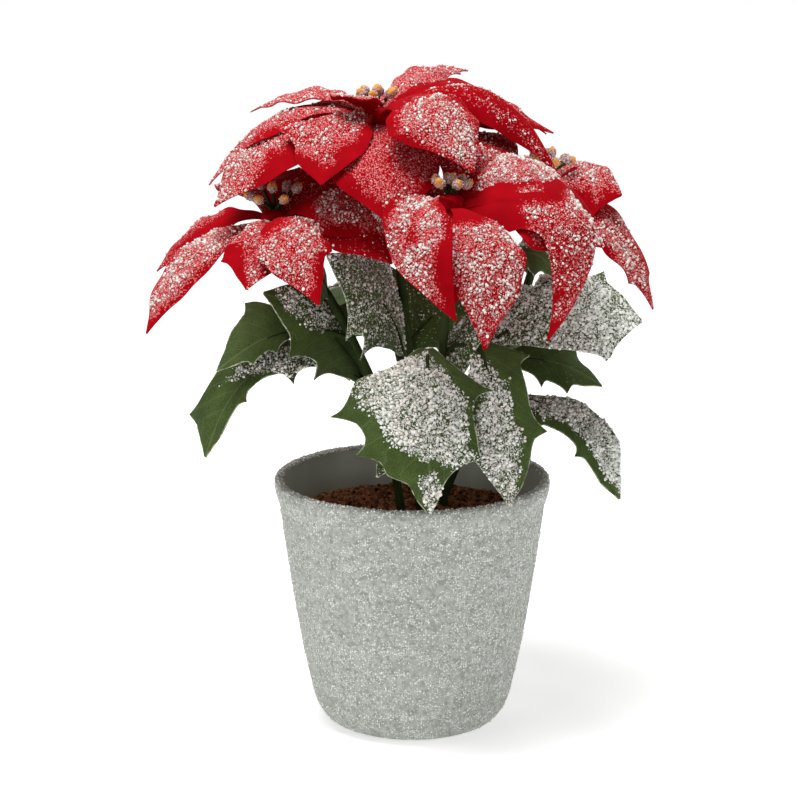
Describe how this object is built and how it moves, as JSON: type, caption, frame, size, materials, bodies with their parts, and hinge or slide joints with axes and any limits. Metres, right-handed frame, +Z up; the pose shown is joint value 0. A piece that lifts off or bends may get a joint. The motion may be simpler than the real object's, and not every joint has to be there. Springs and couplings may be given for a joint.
{
  "type": "potted artificial poinsettia",
  "caption": "Artificial poinsettia with red bract heads and toothed green leaves on thin stems, standing in soil in a round tapered stone-look pot with a flat base.",
  "frame": {"origin": "centre of the pot's flat underside", "axes": "+Z up along the pot's axis, towards the flower heads; -Y towards the side seen in the picture; +X to that view's right"},
  "size_m": [0.216, 0.2221, 0.2846],
  "materials": {
    "pot": "rough grey-green cast stone look with pale specks",
    "soil": "dark red-brown crumbs, matte",
    "greenery": "dark green leaf cloth, frayed at the cut edges, part frosted",
    "bracts": "red velvet cloth under white frost grains",
    "cyathia": "dusty pink frosted buds with yellow tips"
  },
  "bodies": {
    "root": {"pot": "pot", "soil": "soil", "stem_top": "greenery", "stem_left": "greenery", "stem_front": "greenery", "stem_right": "greenery", "stem_back": "greenery", "bracts_top": "bracts", "bracts_left": "bracts", "bracts_front": "bracts", "bracts_right": "bracts", "bracts_back": "bracts", "cyathia_top": "cyathia", "cyathia_left": "cyathia", "cyathia_front": "cyathia", "cyathia_right": "cyathia", "cyathia_back": "cyathia"}
  },
  "joints": []
}
